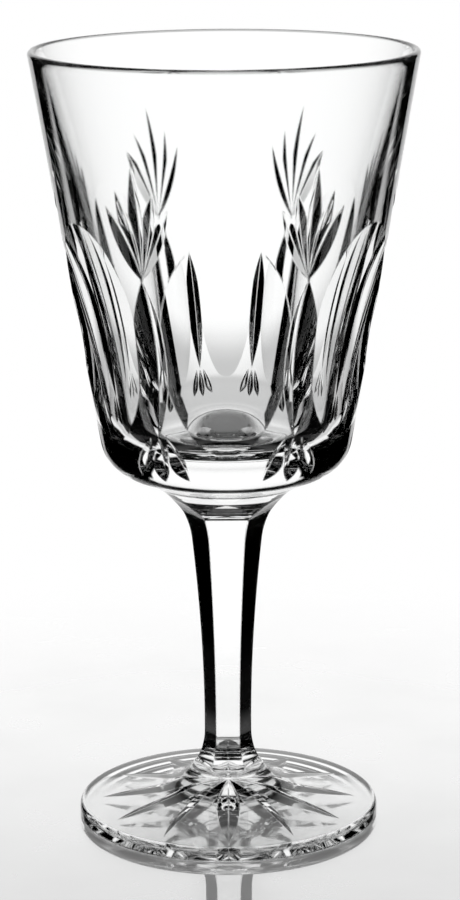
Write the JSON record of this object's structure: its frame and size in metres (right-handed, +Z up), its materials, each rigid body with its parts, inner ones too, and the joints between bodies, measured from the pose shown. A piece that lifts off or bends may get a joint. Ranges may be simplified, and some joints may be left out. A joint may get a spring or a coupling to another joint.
{
  "type": "water goblet",
  "caption": "Stemmed drinking goblet in cut crystal: tapering bowl with fan and panel cuts, hexagonal stem and round foot with a star.",
  "frame": {"origin": "middle of the ring that the foot stands on, at the level of the table", "axes": "+Z up along the goblet's axis of turning; -Y is the front, where a hollow panel and a flat of the stem face the viewer"},
  "size_m": [0.0868, 0.0868, 0.1775],
  "materials": {
    "bowl_crystal": "clear cut crystal, polished",
    "stem_crystal": "clear crystal, six polished flats",
    "foot_crystal": "clear crystal, polished, star cut underneath"
  },
  "bodies": {
    "root": {"bowl": "bowl_crystal", "stem": "stem_crystal", "foot": "foot_crystal"}
  },
  "joints": []
}
